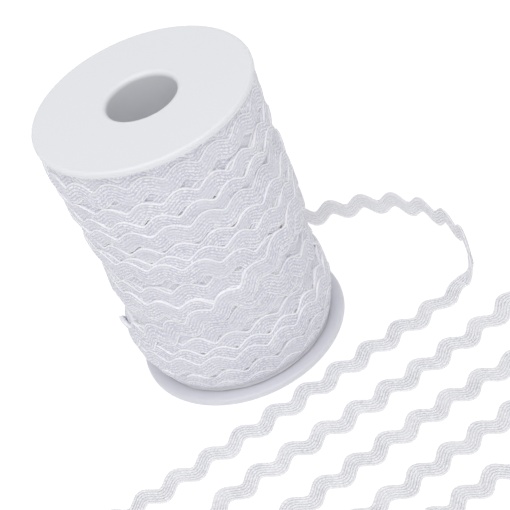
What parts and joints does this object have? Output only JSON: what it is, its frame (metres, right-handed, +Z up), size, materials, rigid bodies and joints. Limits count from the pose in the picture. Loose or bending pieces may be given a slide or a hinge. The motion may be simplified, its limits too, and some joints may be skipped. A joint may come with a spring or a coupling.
{
  "type": "roll of ric rac on a spool",
  "caption": "Flanged spool wound full of narrow wavy ric rac braid, its loose end led round on edge and laid flat back and forth in rows in front of the spool.",
  "frame": {"origin": "on the spool's axis, at the underside of the bottom flange", "axes": "+Z up along the spool's axis; the rows of the loose end lie along X, in front of the spool on the -Y side"},
  "size_m": [0.185, 0.1336, 0.074],
  "materials": {
    "spool_plastic": "white moulded plastic, smooth, with a soft sheen",
    "ric_rac": "white plaited ric rac with fine ribs along the wave and a brighter yarn along each edge"
  },
  "bodies": {
    "root": {"spool": "spool_plastic", "wound_ric_rac": "ric_rac", "loose_end": "ric_rac"}
  },
  "joints": []
}
